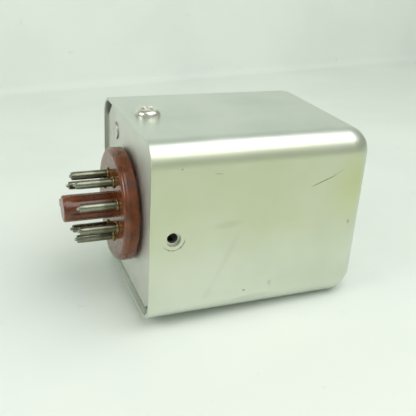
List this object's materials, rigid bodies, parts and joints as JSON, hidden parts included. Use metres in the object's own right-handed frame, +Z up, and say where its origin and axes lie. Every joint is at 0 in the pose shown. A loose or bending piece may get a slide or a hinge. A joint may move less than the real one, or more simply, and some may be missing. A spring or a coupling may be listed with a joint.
{
  "type": "plug in relay",
  "caption": "Plug-in relay with an octal plug, a square aluminium dust cover, and a hinged armature that works two changeover contacts.",
  "frame": {"origin": "on the plug's axis, at the face of the plug that seats on a socket", "axes": "-X is the way the plug points; +X runs to the closed end of the cover; +Z is up when the relay lies on its side, and the side with the open screw hole faces -Y"},
  "size_m": [0.0823, 0.0529, 0.055],
  "materials": {
    "satin_aluminium": "satin, slightly scuffed",
    "pan_aluminium": "satin",
    "nickel_screws": "bright nickel plate",
    "phenolic": "moulded phenolic, glossy",
    "solder": "dull solder",
    "spring_steel": "spring steel",
    "zinc_steel": "zinc plated",
    "zinc_steel_screws": "zinc plated",
    "rivet_aluminium": "satin",
    "soft_iron": "nickel plated soft iron",
    "bobbin_nylon": "moulded nylon",
    "tinned_brass": "tinned",
    "enamelled_copper": "enamelled copper wire",
    "coil_tape": "varnished paper tape",
    "brass": "rolled brass",
    "black_phenolic": "laminated phenolic",
    "silver_contact": "silver alloy",
    "fibre_sleeve": "varnished woven sleeve",
    "pin_nickel": "tarnished nickel plate",
    "spring_bronze": "phosphor bronze",
    "copper_braid": "bare copper braid",
    "lead_black": "insulated lead",
    "lead_white": "insulated lead",
    "lead_yellow": "insulated lead",
    "lead_green": "insulated lead"
  },
  "bodies": {
    "relay_base": {"dust_cover": "satin_aluminium", "base_pan": "pan_aluminium", "cover_screws": "nickel_screws", "plug_body": "phenolic", "key_post": "phenolic", "pin_solder_tips": "solder", "plug_retaining_ring": "spring_steel", "frame_bracket": "zinc_steel", "bracket_rivets": "rivet_aluminium", "relay_frame": "zinc_steel", "frame_screws": "zinc_steel_screws", "coil_core": "soft_iron", "coil_bobbin": "bobbin_nylon", "coil_terminals": "tinned_brass", "coil_winding": "enamelled_copper", "coil_wrap": "coil_tape", "contact_board": "black_phenolic", "board_screws": "zinc_steel_screws", "arm_rivets": "brass", "make_contacts": "silver_contact", "break_contacts": "silver_contact", "lead_sleeves": "fibre_sleeve", "return_spring": "spring_steel", "plug_pin_1": "pin_nickel", "plug_pin_2": "pin_nickel", "plug_pin_3": "pin_nickel", "plug_pin_4": "pin_nickel", "plug_pin_5": "pin_nickel", "plug_pin_6": "pin_nickel", "plug_pin_7": "pin_nickel", "plug_pin_8": "pin_nickel", "make_arm_1": "brass", "break_arm_1": "brass", "coil_lead_1": "lead_black", "make_lead_1": "lead_white", "break_lead_1": "lead_yellow", "common_lead_1": "lead_green", "make_arm_2": "brass", "break_arm_2": "brass", "coil_lead_2": "lead_black", "make_lead_2": "lead_white", "break_lead_2": "lead_yellow", "common_lead_2": "lead_green"},
    "armature": {"armature_plate": "soft_iron", "hinge_pin": "spring_steel", "residual_stud": "brass", "contact_bar": "black_phenolic", "bar_screws": "zinc_steel_screws", "moving_blade_1": "spring_bronze", "moving_blade_2": "spring_bronze", "blade_rivets": "brass", "moving_contacts": "silver_contact", "pigtail_1": "copper_braid", "pigtail_2": "copper_braid"}
  },
  "joints": [
    {"name": "armature_hinge", "type": "hinge", "parent": "relay_base", "child": "armature", "pos_m": [0.0496, 0.01555, 0], "axis": [0, 0, -1], "range_deg": [0, 3.5], "stiffness_Nm_per_rad": 0.05, "springref_deg": -17.19}
  ]
}
